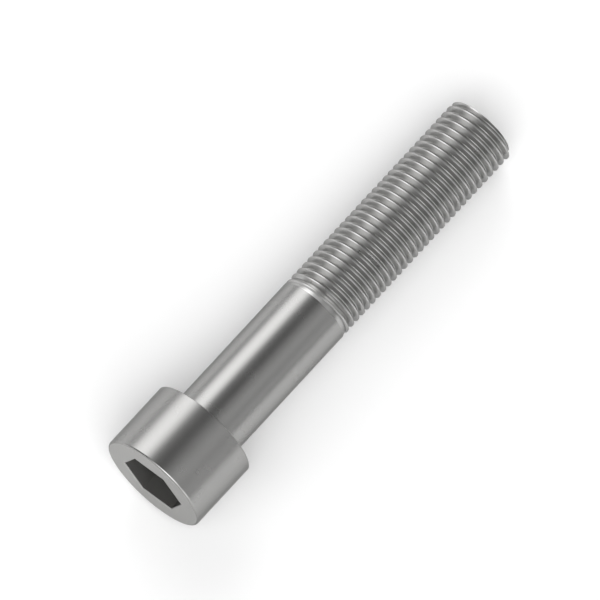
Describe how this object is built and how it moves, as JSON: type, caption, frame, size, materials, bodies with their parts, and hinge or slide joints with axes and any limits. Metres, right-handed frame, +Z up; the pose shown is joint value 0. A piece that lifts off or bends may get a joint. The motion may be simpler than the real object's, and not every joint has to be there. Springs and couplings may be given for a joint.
{
  "type": "socket head cap screw",
  "caption": "Screw with a tall cylindrical head, a hexagon socket, a plain shank and a fine right-hand thread over its outer part.",
  "frame": {"origin": "on the ground, under the middle of the lying screw", "axes": "+X along the screw, from the head to the tip, as seen from above; +Z up. The axis of the screw dips by 2.79 degrees towards the tip, because the head's rim and the end of the thread both touch the ground."},
  "size_m": [0.0776, 0.0182, 0.0188],
  "materials": {
    "steel": "satin"
  },
  "bodies": {
    "root": {"screw": "steel"}
  },
  "joints": []
}
